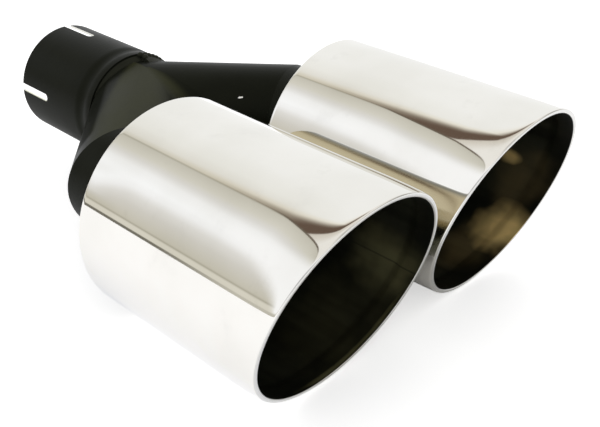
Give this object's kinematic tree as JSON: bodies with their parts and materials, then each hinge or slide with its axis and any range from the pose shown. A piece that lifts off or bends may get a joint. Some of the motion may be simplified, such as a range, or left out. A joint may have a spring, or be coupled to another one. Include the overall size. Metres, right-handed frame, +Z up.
{
  "type": "twin exhaust tip",
  "caption": "Twin round exhaust tip with slant-cut polished sleeves on a black Y pipe and a slotted inlet collar that clamps over a tailpipe.",
  "frame": {"origin": "centre of the inlet collar's open rim", "axes": "+Y out of the inlet along the collar's axis, -Y out of the mouths, +Z up, +X to the right for someone facing the mouths"},
  "size_m": [0.2096, 0.2876, 0.1016],
  "materials": {
    "black_paint": "satin black heat-resistant paint",
    "polished_steel": "mirror-polished stainless steel outside, darker satin bore"
  },
  "bodies": {
    "root": {"inlet_collar": "black_paint", "collar_weld": "black_paint", "crotch_weld": "black_paint", "left_branch_pipe": "black_paint", "left_tip_pipe": "black_paint", "left_back_ring": "black_paint", "left_ring_weld": "black_paint", "right_branch_pipe": "black_paint", "right_tip_pipe": "black_paint", "right_back_ring": "black_paint", "right_ring_weld": "black_paint", "left_tip_sleeve": "polished_steel", "right_tip_sleeve": "polished_steel"}
  },
  "joints": []
}
